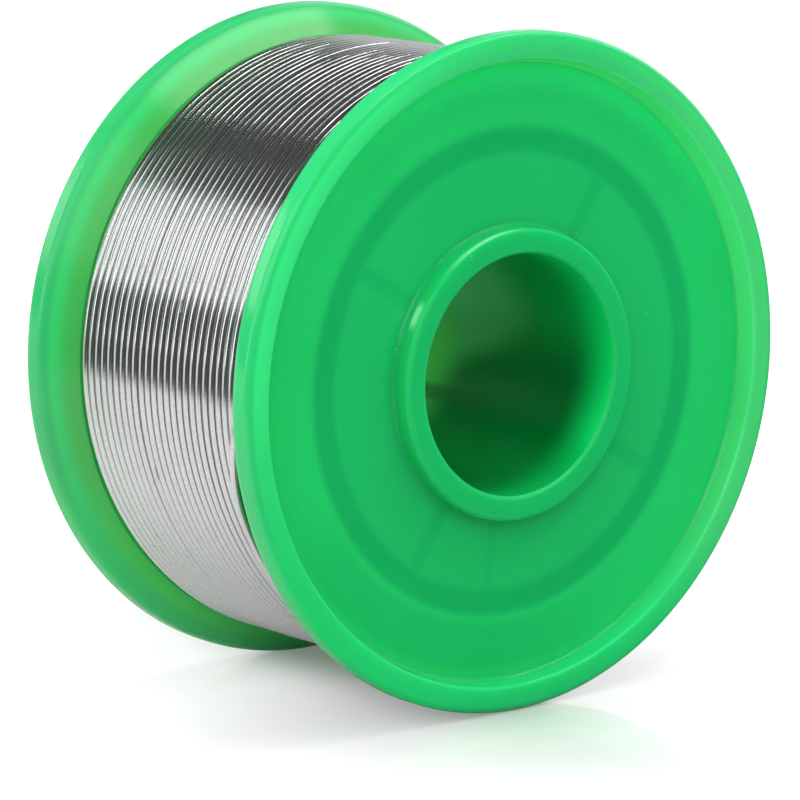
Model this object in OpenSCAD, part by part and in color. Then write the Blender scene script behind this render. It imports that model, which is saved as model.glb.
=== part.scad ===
// Solder wire spool.
// A hub moulded in one with its front flange, a rear flange pressed onto the hub,
// and flux-cored solder wire wound between the two flanges.
// Millimetres. The spool's axis lies along Y, its front flange faces -Y, and the
// origin is the middle of the bore. It lies on its two rims, with +Z up.

/* [Flanges] */
// Diameter over the two rims
flange_d = 55; // [54:0.5:64]
// Width of the spool over the two rims
spool_w = 29.7; // [26:0.1:40]
// Thickness of each rim along the axis
rim_t = 2.55; // [2.3:0.05:2.9]
// Width of each rim in the radial direction
rim_w = 2.4; // [2.2:0.05:2.8]
// Radius of the rims' outer corners, at their outer faces
rim_round = 0.6; // [0.4:0.05:0.8]
// Radius of the rims' outer corners, on the side of the wire
rim_back = 1.05; // [0.6:0.05:1.05]
// Radius of the rims' inner edges
rim_edge = 0.3; // [0.2:0.05:0.6]
// Radial width of the slope from a flange's inner face out to its rim
flare_w = 1.45; // [0.8:0.05:1.5]
// Depth of each web below its rim's outer face
web_recess = 1.7; // [1.5:0.05:2]
// Thickness of each web
web_t = 2.45; // [1.6:0.05:3]
// Radius of the fillets where the front web meets its rim and its boss
web_fillet = 0.4; // [0.1:0.05:0.5]

/* [Hub] */
// Diameter of the bore, which takes the spindle of a solder stand
bore_d = 19.6; // [16:0.1:22]
// Wall of the bore tube, whose ends are the two bosses
tube_wall = 2.1; // [1.4:0.1:2.4]
// Radius of the bosses' outer edges
boss_round = 0.6; // [0.2:0.05:0.9]
// Chamfer at the two mouths of the bore
bore_chamfer = 0.2; // [0.1:0.05:0.4]
// Outer diameter of the drum that the wire is wound on
drum_d = 39.6; // [34:0.1:42]
// Wall of the drum
drum_wall = 2; // [1.2:0.1:2.4]
// Number of ribs between the bore tube and the drum
rib_count = 4; // [3:1:6]
// Thickness of each rib
rib_t = 1.2; // [0.8:0.1:1.6]
// Angle of the first rib from straight up, towards -X
rib_angle = 57; // [45:1:70]

/* [Rear flange seat] */
// Height of the ring that centres the rear flange inside the drum
ring_h = 2.5; // [1.5:0.1:4]
// Radial thickness of that ring
ring_t = 1.2; // [0.8:0.1:1.6]
// Radial gap between that ring and the drum
ring_clear = 0.1; // [0.05:0.05:0.2]
// Radial gap between the rear flange's hole and the bore tube
hole_clear = 0.05; // [0.02:0.01:0.1]

/* [Solder wire] */
// Diameter of the solder wire
wire_d = 0.8; // [0.7:0.1:1.2]
// Slack beside each turn as the wire was wound
wind_slack = 0.04; // [0.02:0.01:0.1]
// Depth of the winding on the drum
wind_depth = 5.35; // [3:0.05:5.5]
// Least space between neighbouring turns of the outer layer as drawn
turn_gap = 0.4; // [0.4:0.01:0.45]
// Diameter of the rosin flux core inside the wire
flux_d = 0.28; // [0.2:0.01:0.34]
// Angle of the slot where the wire starts, from straight up, towards -X
start_angle = 173; // [165:1:180]
// Angle where the outer layer starts and ends, from straight up, towards -X
end_angle = -60; // [-80:1:-40]
// Angle that the wire lies over the outer layer, after its last turn there
over_angle = 210; // [150:15:240]
// Angle that the loose end of the wire lies along after that
free_angle = 24; // [10:1:60]

/* [Hidden] */
$fn = 96;

PLASTIC = [0.10, 0.72, 0.36];
SOLDER = [0.78, 0.78, 0.80];
UNDER_SOLDER = [0.55, 0.55, 0.58];
ROSIN = [0.80, 0.58, 0.22];

// Small working gaps
bite = 0.5;            // how far the ribs run into the walls they join
rib_relief = 0.3;      // between the ribs' ends and the rear flange's ring
side_clear = 0.1;      // between the winding and the flanges
layer_clear = 0.05;    // between the winding and the drum, and between its layers
slot_clear = 0.1;      // around the wire in its starting slot
flux_clear = 0.01;     // around the flux core, which keeps it a piece of its own
cut_clear = 0.02;      // between the ends of two lengths of wire that meet
start_reach = 0.6;     // between the wire's inner end and the bore tube
past = 1;              // how far a cut runs past what it cuts
arc_steps = 6;         // straight steps in a quarter of a rounded corner

flange_r = flange_d / 2;
half_w = spool_w / 2;
rim_low = half_w - rim_t;
web_out = half_w - web_recess;
web_in = web_out - web_t;
bore_r = bore_d / 2;
tube_r = bore_r + tube_wall;
drum_r = drum_d / 2;
drum_in = drum_r - drum_wall;
ring_out = drum_in - ring_clear;
rib_end = web_in - ring_h - rib_relief;

// The outer layer is a helix of six-sided wire, drawn thinner than the real wire
// so that its turns stay apart. It runs from the rear flange to the front one, and
// there climbs over its last turn into the groove next to it.
sides = 6;
rings_per_turn = 24;
wind_r = drum_r + wind_depth;
wind_half = web_in - side_clear;
lay = wire_d + wind_slack;
turns = floor((2 * wind_half - wire_d) / lay);
turn_t = lay - turn_gap;
turn_d = turn_t / cos(180 / sides);
over_rings = floor(over_angle * rings_per_turn / 360);
flat_rings = turns * rings_per_turn - over_rings;
pitch = (2 * wind_half - turn_t) * rings_per_turn / flat_rings;
turn_r = wind_r - turn_d / 2;
first_z = turn_t / 2 - wind_half;
last_z = wind_half - turn_t / 2;

// Where the wire lies over the outer layer
climb_rings = 4;
over_apart = turn_d + turn_gap + 2 * layer_clear;
climb_angle = 90 + asin(pitch / 2 / over_apart);
over_end_z = last_z - pitch * (1.5 - over_rings / rings_per_turn);

// The layers under it fill the space up to the inner side of its straight steps.
core_in = drum_r + layer_clear;
core_r = (turn_r - turn_d / 2) * cos(180 / rings_per_turn) - layer_clear;

// Where the outer layer rises out of the layers under it
bend_r = turn_d * 1.15;
rise_r = turn_r - bend_r;
rise_foot = rise_r - turn_d;

start_z = web_in - slot_clear - wire_d / 2;
start_in = tube_r + start_reach;
start_out = core_in - cut_clear;
free_z = over_end_z;
free_r = wind_r + layer_clear + wire_d / 2;
free_from = end_angle + asin((turn_d + cut_clear) / turn_r) + asin(cut_clear / turn_r);

// Points of an arc from angle a to angle b, about c
function arc(c, r, a, b) =
    [for (i = [0 : arc_steps]) c + r * [cos(a + (b - a) * i / arc_steps), sin(a + (b - a) * i / arc_steps)]];

// Outline of a flange from its inner face, round the rim, to the foot of the rim
function rim_outline() = concat(
    [[flange_r - rim_back - flare_w, web_in]],
    arc([flange_r - rim_back, rim_low + rim_back], rim_back, -90, 0),
    arc([flange_r - rim_round, half_w - rim_round], rim_round, 0, 90),
    arc([flange_r - rim_w + rim_edge, half_w - rim_edge], rim_edge, 90, 180),
    arc([flange_r - rim_w - web_fillet, web_out + web_fillet], web_fillet, 0, -90)
);

// Frame of the parts: lays the axis along Y, with z = outwards at the front
module face_front() {
    rotate([90, 0, 0])
        children();
}

// The same for what faces the rear
module face_rear() {
    rotate([-90, 0, 0])
        children();
}

// Turns a piece drawn along +Y to an angle from straight up, towards -X
module at_angle(a) {
    rotate([0, 0, a])
        children();
}

// Section of the hub and its front flange, one closed outline
module hub_section() {
    polygon(concat(
        [[bore_r, bore_chamfer - half_w], [bore_r + bore_chamfer, -half_w]],
        arc([tube_r - boss_round, boss_round - half_w], boss_round, -90, 0),
        [[tube_r, web_in], [drum_in, web_in], [drum_in, -web_in], [drum_r, -web_in], [drum_r, web_in]],
        rim_outline(),
        arc([tube_r + web_fillet, web_out + web_fillet], web_fillet, -90, -180),
        arc([tube_r - boss_round, half_w - boss_round], boss_round, 0, 90),
        [[bore_r + bore_chamfer, half_w], [bore_r, half_w - bore_chamfer]]
    ));
}

// Section of the rear flange with its centring ring
module rear_section() {
    hole_r = tube_r + hole_clear;
    polygon(concat(
        [
            [hole_r, web_in],
            [ring_out - ring_t, web_in],
            [ring_out - ring_t, web_in - ring_h],
            [ring_out, web_in - ring_h],
            [ring_out, web_in]
        ],
        rim_outline(),
        [[hole_r, web_out]]
    ));
}

// One rib between the bore tube and the drum
module rib() {
    translate([-rib_t / 2, tube_r - bite, -rib_end])
        cube([rib_t, drum_in - tube_r + 2 * bite, rib_end + web_in + bite]);
}

// Slot through the drum, against the front flange, for the start of the wire
module start_slot() {
    slot = wire_d + 2 * slot_clear;
    translate([-slot / 2, drum_in - past, web_in - slot])
        cube([slot, drum_wall + 2 * past, slot]);
}

module front_flange_and_hub() {
    color(PLASTIC)
        face_front()
            difference() {
                union() {
                    rotate_extrude()
                        hub_section();
                    for (i = [0 : rib_count - 1])
                        at_angle(rib_angle + i * 360 / rib_count)
                            rib();
                }
                at_angle(start_angle)
                    start_slot();
            }
}

module rear_flange() {
    color(PLASTIC)
        face_rear()
            rotate_extrude()
                rear_section();
}

// Hole in the layers under the outer one, where its first turn comes up
module rise_hole() {
    half = turn_d / 2 + layer_clear;
    translate([-half - bend_r, rise_foot - cut_clear, first_z - half])
        cube([2 * half + bend_r, core_r, 2 * half]);
}

module inner_wire_layers() {
    color(UNDER_SOLDER)
        face_front()
            difference() {
                cylinder(r = core_r, h = 2 * wind_half, center = true);
                cylinder(r = core_in, h = 2 * wind_half + 2 * past, center = true);
                at_angle(end_angle)
                    rise_hole();
            }
}

// Direction straight away from the axis, and the way the wire runs round it
function outward(a) = [-sin(a), cos(a), 0];
function along(a) = [-cos(a), -sin(a), 0];

// One ring of the wire: six corners about c, with n towards its outer corner
function wire_ring(c, n) =
    [for (k = [0 : sides - 1]) c + turn_d / 2 * (n * cos(k * 360 / sides) + [0, 0, sin(k * 360 / sides)])];

// The rise: straight out for one wire diameter, then a quarter bend into the turn
bend_steps = 3;
rise_rings = concat(
    [wire_ring(outward(end_angle) * rise_foot + [0, 0, first_z], -along(end_angle))],
    [
        for (i = [0 : bend_steps])
            let (b = 90 * i / bend_steps)
            wire_ring(
                outward(end_angle) * (rise_r + bend_r * sin(b))
                    + along(end_angle) * bend_r * (1 - cos(b)) + [0, 0, first_z],
                outward(end_angle) * sin(b) - along(end_angle) * cos(b)
            )
    ]
);

// Radius and height of ring i of the turns: a helix to the front flange, and then
// round the turn before it, at over_apart from it, and on along the groove
function turn_place(i) =
    let (
        over = max(0, i - flat_rings),
        t = min(1, over / climb_rings),
        apart = pitch + (over_apart - pitch) * t,
        helix_z = first_z + pitch * (i - rings_per_turn) / rings_per_turn
    )
    over == 0
        ? [turn_r, helix_z + pitch]
        : [turn_r + apart * sin(climb_angle * t), helix_z + apart * cos(climb_angle * t)];

turn_rings = [
    for (i = [1 : turns * rings_per_turn])
        let (a = end_angle + i * 360 / rings_per_turn, place = turn_place(i))
        wire_ring(outward(a) * place[0] + [0, 0, place[1]], outward(a))
];

// The end: straight on for one wire diameter
last_ring = [for (p = turn_rings[len(turn_rings) - 1]) p + along(end_angle) * turn_d];

layer_rings = concat(rise_rings, turn_rings, [last_ring]);
layer_points = [for (ring = layer_rings) for (p = ring) p];

// Least gap of the outer layer's wire to itself, from each ring to those a turn on
function rings_apart(i, j) = min([for (p = layer_rings[i]) for (q = layer_rings[j]) norm(p - q)]);
ring_last = len(layer_rings) - 1;
reach = bend_steps + 3;
least_gap = min([
    for (i = [0 : ring_last - rings_per_turn + reach])
        for (j = [i + rings_per_turn - reach : min(i + rings_per_turn + reach, ring_last)])
            rings_apart(i, j)
]);
echo(outer_layer_turns = turns, wire_as_drawn_mm = turn_d, least_gap_mm = least_gap);

// Corner k of ring i, as an index into the points
function corner(i, k) = i * sides + k % sides;

module outer_wire_layer() {
    skin = [
        for (i = [0 : ring_last - 1])
            for (k = [0 : sides - 1])
                for (half = [0, 1])
                    half == 0
                        ? [corner(i, k), corner(i + 1, k + 1), corner(i + 1, k)]
                        : [corner(i, k), corner(i, k + 1), corner(i + 1, k + 1)]
    ];
    caps = [
        for (k = [1 : sides - 2])
            for (end = [0, 1])
                end == 0
                    ? [corner(0, 0), corner(0, k + 1), corner(0, k)]
                    : [corner(ring_last, 0), corner(ring_last, k), corner(ring_last, k + 1)]
    ];
    color(SOLDER)
        face_front()
            polyhedron(points = layer_points, faces = concat(skin, caps));
}

// A round bar along the start of the wire, from radius a to radius b
module start_bar(d, a, b) {
    at_angle(start_angle)
        translate([0, a, start_z])
            rotate([-90, 0, 0])
                cylinder(d = d, h = b - a);
}

// A round bar along the loose end of the wire, from angle a to angle b
module free_bar(d, a, b) {
    translate([0, 0, free_z])
        rotate([0, 0, 90 + a])
            rotate_extrude(angle = b - a)
                translate([free_r, 0])
                    circle(d = d);
}

module wire_start() {
    color(SOLDER)
        face_front()
            difference() {
                start_bar(wire_d, start_in, start_out);
                start_bar(flux_d, start_in - past, start_out + past);
            }
}

module wire_free_end() {
    free_to = free_from + free_angle;
    color(SOLDER)
        face_front()
            difference() {
                free_bar(wire_d, free_from, free_to);
                free_bar(flux_d, free_from - past, free_to + past);
            }
}

// The flux that shows in the wire's two cut ends
module flux_core() {
    color(ROSIN)
        face_front() {
            start_bar(flux_d - 2 * flux_clear, start_in, start_out);
            free_bar(flux_d - 2 * flux_clear, free_from, free_from + free_angle);
        }
}

front_flange_and_hub();
rear_flange();
inner_wire_layers();
outer_wire_layer();
wire_start();
wire_free_end();
flux_core();
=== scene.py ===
"""Solder wire spool: the visible model, its finishes and the studio it stands in.

The spool's axis lies along Y with the front flange towards -Y, the origin is the middle
of the bore, and +Z is up. Sizes are in millimetres in the classes and in metres in the
meshes. Angles round the axis are in degrees from straight up, towards -X.
"""

import logging
import math
import random
from dataclasses import dataclass, field
from enum import Enum
from functools import reduce
from operator import add, mul
from typing import Callable, Sequence

import bmesh
import bpy
from mathutils import Matrix, Vector


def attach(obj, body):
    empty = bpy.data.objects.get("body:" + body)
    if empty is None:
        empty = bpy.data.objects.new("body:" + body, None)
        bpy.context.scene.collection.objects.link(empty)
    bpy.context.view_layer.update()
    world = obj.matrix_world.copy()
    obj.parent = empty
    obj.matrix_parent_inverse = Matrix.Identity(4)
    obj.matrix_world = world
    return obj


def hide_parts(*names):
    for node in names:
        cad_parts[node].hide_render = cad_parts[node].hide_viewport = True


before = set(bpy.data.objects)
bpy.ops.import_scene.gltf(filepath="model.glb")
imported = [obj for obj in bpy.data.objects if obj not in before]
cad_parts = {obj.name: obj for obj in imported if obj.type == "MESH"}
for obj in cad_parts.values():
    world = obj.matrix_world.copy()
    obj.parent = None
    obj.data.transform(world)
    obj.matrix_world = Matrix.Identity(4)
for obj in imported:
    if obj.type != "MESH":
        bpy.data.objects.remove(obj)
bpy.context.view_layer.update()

MM = 0.001
PER_MM = 1000.0
BODY = "root"
SHARP_ANGLE = 28.0
RIB_ANGLE = 57.0
RIB_END = 7.9
START_ANGLE = 173.0
WHITE = (1.0, 1.0, 1.0)
LOG = logging.getLogger("solder_wire_spool")

Point = tuple[float, float]
Span = tuple[float, float]
Rgb = tuple[float, float, float]
Triple = tuple[float, float, float]


class Side(Enum):
    """Which end of the spool a flange is on, as the sign of its Y."""

    FRONT = -1.0
    REAR = 1.0


class Carving(Enum):
    """What a tool solid does to a piece."""

    JOIN = "UNION"
    CUT = "DIFFERENCE"


def smooth_step(low: float, high: float, value: float) -> float:
    """Ease from 0 below low to 1 above high."""
    t = min(1.0, max(0.0, (value - low) / (high - low)))
    return t * t * (3.0 - 2.0 * t)


def bump(centre: float, half_width: float, soft: float, value: float) -> float:
    """A plateau of 1 round a centre, with 0 away from it and edges of a soft width."""
    away = abs(value - centre) - half_width
    return 1.0 - smooth_step(-soft / 2.0, soft / 2.0, away)


def arc(centre: Point, radius: float, start: float, end: float, steps: int = 14) -> list[Point]:
    """Points along an arc from one angle to another, in degrees, both ends included."""
    angles = [math.radians(start + (end - start) * i / steps) for i in range(steps + 1)]
    return [(centre[0] + radius * math.cos(a), centre[1] + radius * math.sin(a)) for a in angles]


def line(start: Point, end: Point, step: float) -> list[Point]:
    """Points strictly between two points, evenly spaced by no more than a step."""
    count = max(1, math.ceil(math.dist(start, end) / step))
    return [tuple(a + (b - a) * i / count for a, b in zip(start, end)) for i in range(1, count)]


def trace(*parts: Point | list[Point] | float) -> list[Point]:
    """Join points and arcs into an outline.

    Args:
        parts: Points and lists of points, and between some of them a step, which asks for
            evenly spaced points from the part before it to the part after it.

    Returns:
        The outline's points.
    """
    points: list[Point] = []
    for number, part in enumerate(parts):
        if isinstance(part, float):
            after = parts[(number + 1) % len(parts)]
            points += line(points[-1], after[0] if isinstance(after, list) else after, part)
        else:
            points += part if isinstance(part, list) else [part]
    return points


def outward(angle: float) -> Vector:
    """Unit vector straight away from the spool's axis at an angle in degrees."""
    a = math.radians(angle)
    return Vector((-math.sin(a), 0.0, math.cos(a)))


def forward(angle: float) -> Vector:
    """Unit vector the way the wire runs round the axis at an angle in degrees."""
    a = math.radians(angle)
    return Vector((-math.cos(a), 0.0, -math.sin(a)))


def along_axis(y: float) -> Vector:
    """A vector along the spool's axis."""
    return Vector((0.0, y, 0.0))


def in_scene(name: str, data: bpy.types.ID) -> bpy.types.Object:
    """Put a mesh, a light or a camera in the scene.

    Args:
        name: The object's name.
        data: What it shows.

    Returns:
        The new object.
    """
    made = bpy.data.objects.new(name, data)
    bpy.context.scene.collection.objects.link(made)
    return made


def make_object(name: str, points: Sequence, faces: Sequence[Sequence[int]]) -> bpy.types.Object:
    """Make a closed mesh object in the scene.

    Args:
        name: The object's name.
        points: Its vertices, in millimetres.
        faces: Its faces, as indices into points.

    Returns:
        The new object.
    """
    mesh = bpy.data.meshes.new(name)
    mesh.from_pydata([tuple(c * MM for c in p) for p in points], [], faces)
    mesh.validate()
    work = bmesh.new()
    work.from_mesh(mesh)
    bmesh.ops.recalc_face_normals(work, faces=work.faces)
    work.to_mesh(mesh)
    work.free()
    shade(mesh)
    return in_scene(name, mesh)


def shade(mesh: bpy.types.Mesh) -> None:
    """Shade a mesh smooth, with its sharp edges kept."""
    mesh.shade_smooth()
    mesh.set_sharp_from_angle(angle=math.radians(SHARP_ANGLE))


def loft(rings: int, sides: int, closed: bool) -> list[list[int]]:
    """Make faces between rings of points that follow each other.

    Args:
        rings: Number of rings.
        sides: Number of points in a ring.
        closed: Whether the last ring joins the first.

    Returns:
        The faces, as indices of the points.
    """
    faces: list[list[int]] = []
    for i in range(rings if closed else rings - 1):
        here, there = i * sides, (i + 1) % rings * sides
        pairs = [(k, (k + 1) % sides) for k in range(sides)]
        faces += [[here + a, here + b, there + b, there + a] for a, b in pairs]
    return faces


def revolve(outline: Sequence[Point], segments: int) -> tuple[list[list[float]], list[list[int]]]:
    """Vertices and faces of a closed outline of (radius, y) points turned round the spool's axis."""
    rays = [outward(360.0 * s / segments) for s in range(segments)]
    return [[ray.x * r, y, ray.z * r] for ray in rays for r, y in outline], loft(segments, len(outline), True)


def carve(target: bpy.types.Object, tool: bpy.types.Object, carving: Carving) -> None:
    """Join a tool solid to a target, or cut it away, and delete the tool.

    Args:
        target: The solid that is changed.
        tool: The solid that is joined or cut away.
        carving: Which of the two.
    """
    modifier = target.modifiers.new(carving.name.lower(), "BOOLEAN")
    modifier.operation = carving.value
    modifier.solver = "MANIFOLD"
    modifier.object = tool
    evaluated = target.evaluated_get(bpy.context.evaluated_depsgraph_get())
    result = bpy.data.meshes.new_from_object(evaluated)
    target.modifiers.clear()
    old = target.data
    target.data = result
    result.name = target.name
    bpy.data.meshes.remove(old)
    bpy.data.objects.remove(tool)


def combine_shells(target: bpy.types.Object, extra: bpy.types.Object) -> None:
    """Move an extra object's mesh into a target's, and delete the extra object.

    Args:
        target: The object that gets both meshes.
        extra: The object that goes.
    """
    work = bmesh.new()
    work.from_mesh(target.data)
    work.from_mesh(extra.data)
    work.to_mesh(target.data)
    work.free()
    bpy.data.objects.remove(extra)


@dataclass(frozen=True)
class Value:
    """A shader value that can be reckoned with, and the graph that it belongs to."""

    g: "NodeGraph"
    socket: bpy.types.NodeSocket

    def math(self, operation: str, other: object = 0.0, clamp: bool = False) -> "Value":
        """A math node's result for this value and another."""
        return self.g.get("Math", {0: self, 1: other}, operation=operation, use_clamp=clamp)

    def __add__(self, other: object) -> "Value":
        """The sum with another value."""
        return self.math("ADD", other)

    def __sub__(self, other: object) -> "Value":
        """The difference from another value."""
        return self.math("SUBTRACT", other)

    def __mul__(self, other: object) -> "Value":
        """The product with another value."""
        return self.math("MULTIPLY", other)

    def __abs__(self) -> "Value":
        """The size without the sign."""
        return self.math("ABSOLUTE")

    def most(self, other: object) -> "Value":
        """The larger of this value and another."""
        return self.math("MAXIMUM", other)

    def rest(self) -> "Value":
        """What this share leaves of 1."""
        return self.g.get("Math", {0: 1.0, 1: self}, operation="SUBTRACT")

    def rise(self, low: float, high: float) -> "Value":
        """A smooth rise from 0 at low to 1 at high, and the other way round if low is above high."""
        ends = {"From Min": min(low, high), "From Max": max(low, high), "To Min": float(low > high)}
        return self.g.get(
            "MapRange", {"Value": self, **ends, "To Max": float(low < high)}, interpolation_type="SMOOTHSTEP"
        )

    def band(self, low: float, high: float, soft: float) -> "Value":
        """1 between low and high, 0 outside, with soft edges."""
        half = soft / 2.0
        return self.rise(low - half, low + half) * self.rise(high + half, high - half)

    def tint(self, base: object, colour: object) -> "Value":
        """A base colour with another laid over it by this share."""
        return self.g.get("Mix", {0: self, 6: base, 7: colour}, 2, data_type="RGBA")

    def blend(self, low: "Value", high: "Value") -> "Value":
        """A mix of two shaders, with this share of the second."""
        return self.g.get("MixShader", {0: self, 1: low, 2: high})

    def noise(self, scale: float, detail: float = 2.0, roughness: float = 0.5) -> "Value":
        """The level of a noise texture at this place, about 0.5 on average."""
        inputs = {"Vector": self, "Scale": scale, "Detail": detail, "Roughness": roughness}
        return self.g.get("TexNoise", inputs)

    def scaled(self, factors: Triple) -> "Value":
        """This vector with each component multiplied by a factor."""
        return self.g.get("VectorMath", {0: self, 1: factors}, operation="MULTIPLY")

    def split(self) -> list["Value"]:
        """This vector's components."""
        return [Value(self.g, socket) for socket in self.g.add("SeparateXYZ", {0: self}).outputs]

    def uneven(self, strength: float, depth: float) -> "Value":
        """A normal for a surface that this value makes uneven, by a depth in metres."""
        return self.g.get("Bump", {"Strength": strength, "Distance": depth, "Height": self})


class NodeGraph:
    """The shader nodes of a material or of the world."""

    def __init__(self, owner: bpy.types.Material | bpy.types.World) -> None:
        """Start the owner's node tree afresh."""
        owner.use_nodes = True
        self.tree = owner.node_tree
        self.tree.nodes.clear()

    def add(self, kind: str, inputs: dict | None = None, **settings: object) -> bpy.types.Node:
        """Add a node.

        Args:
            kind: The node's type, without its ShaderNode prefix.
            inputs: Values for its inputs, by name or number, with colours as three numbers.
            settings: The node's own properties.

        Returns:
            The new node.
        """
        node = self.tree.nodes.new("ShaderNode" + kind)
        for key, value in settings.items():
            setattr(node, key, value)
        for key, value in (inputs or {}).items():
            socket = node.inputs[key]
            if isinstance(value, Value):
                self.tree.links.new(value.socket, socket)
            else:
                socket.default_value = (*value, 1.0) if socket.type == "RGBA" else value
        return node

    def get(self, kind: str, inputs: dict | None = None, output: int | str = 0, **settings: object) -> Value:
        """Add a node and take one of its outputs, by name or number."""
        return Value(self, self.add(kind, inputs, **settings).outputs[output])

    def place(self) -> Value:
        """Object coordinates, in metres."""
        return self.get("TexCoord", output="Object")

    def ray(self, kind: str) -> Value:
        """1 for rays of a kind, and 0 for others."""
        return self.get("LightPath", output=f"Is {kind} Ray")


class Finish:
    """A finish, which becomes a material by its name and its shader."""

    name: str

    def shader(self, g: NodeGraph) -> Value:
        """The finish's shader in a graph."""
        raise NotImplementedError

    def material(self) -> bpy.types.Material:
        """Build the finish's material.

        Returns:
            A node material in object space.
        """
        made = bpy.data.materials.new(self.name)
        g = NodeGraph(made)
        g.add("OutputMaterial", {"Surface": self.shader(g)})
        return made


def settle(piece: bpy.types.Object, finishes: Sequence[Finish], node: str) -> bpy.types.Object:
    """Dress a piece and give it its place in the frame.

    Args:
        piece: The piece.
        finishes: Its finishes.
        node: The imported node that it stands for.

    Returns:
        The same piece.
    """
    piece.data.materials.clear()
    for finish in finishes:
        piece.data.materials.append(finish.material())
    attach(piece, BODY)
    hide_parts(node)
    return piece


@dataclass(frozen=True)
class Spot:
    """Where on the spool a point of a surface lies.

    The point is in metres. The others are in millimetres and degrees: sideways, up, away
    from the axis, round the axis, and from the middle of the spool towards one side.
    """

    point: Value
    x: Value
    z: Value
    radius: Value
    angle: Value
    out: Value

    @classmethod
    def read(cls, point: Value, side: Side) -> "Spot":
        """Read the spot.

        Args:
            point: Object coordinates.
            side: The side that out is measured towards.

        Returns:
            The spot.
        """
        x, y, z = point.split()
        radius = (x * x + z * z).math("SQRT") * PER_MM
        angle = (x * -1.0).math("ARCTAN2", z).math("DEGREES")
        return cls(point, x * PER_MM, z * PER_MM, radius, angle, y * (PER_MM * side.value))

    def off_rib(self) -> Value:
        """How far this is from the nearest rib's middle, up to 1 halfway between two ribs."""
        return abs(((self.angle - RIB_ANGLE) * math.radians(2.0)).math("SINE"))


@dataclass(frozen=True)
class Zone:
    """A part of a flange painted lighter or darker for how light falls on it.

    Each span says where a coordinate starts to count and where it counts in full.
    """

    colour: Rgb
    x: Span | None = None
    z: Span | None = None
    radius: Span | None = None
    fade: Span | None = None

    def lay(self, s: Spot, base: object) -> Value:
        """The zone's colour laid over another."""
        spans = ((s.x, self.x), (s.z, self.z), (s.radius, self.radius), (s.radius, self.fade))
        return reduce(mul, [value.rise(*span) for value, span in spans if span]).tint(base, self.colour)


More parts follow.
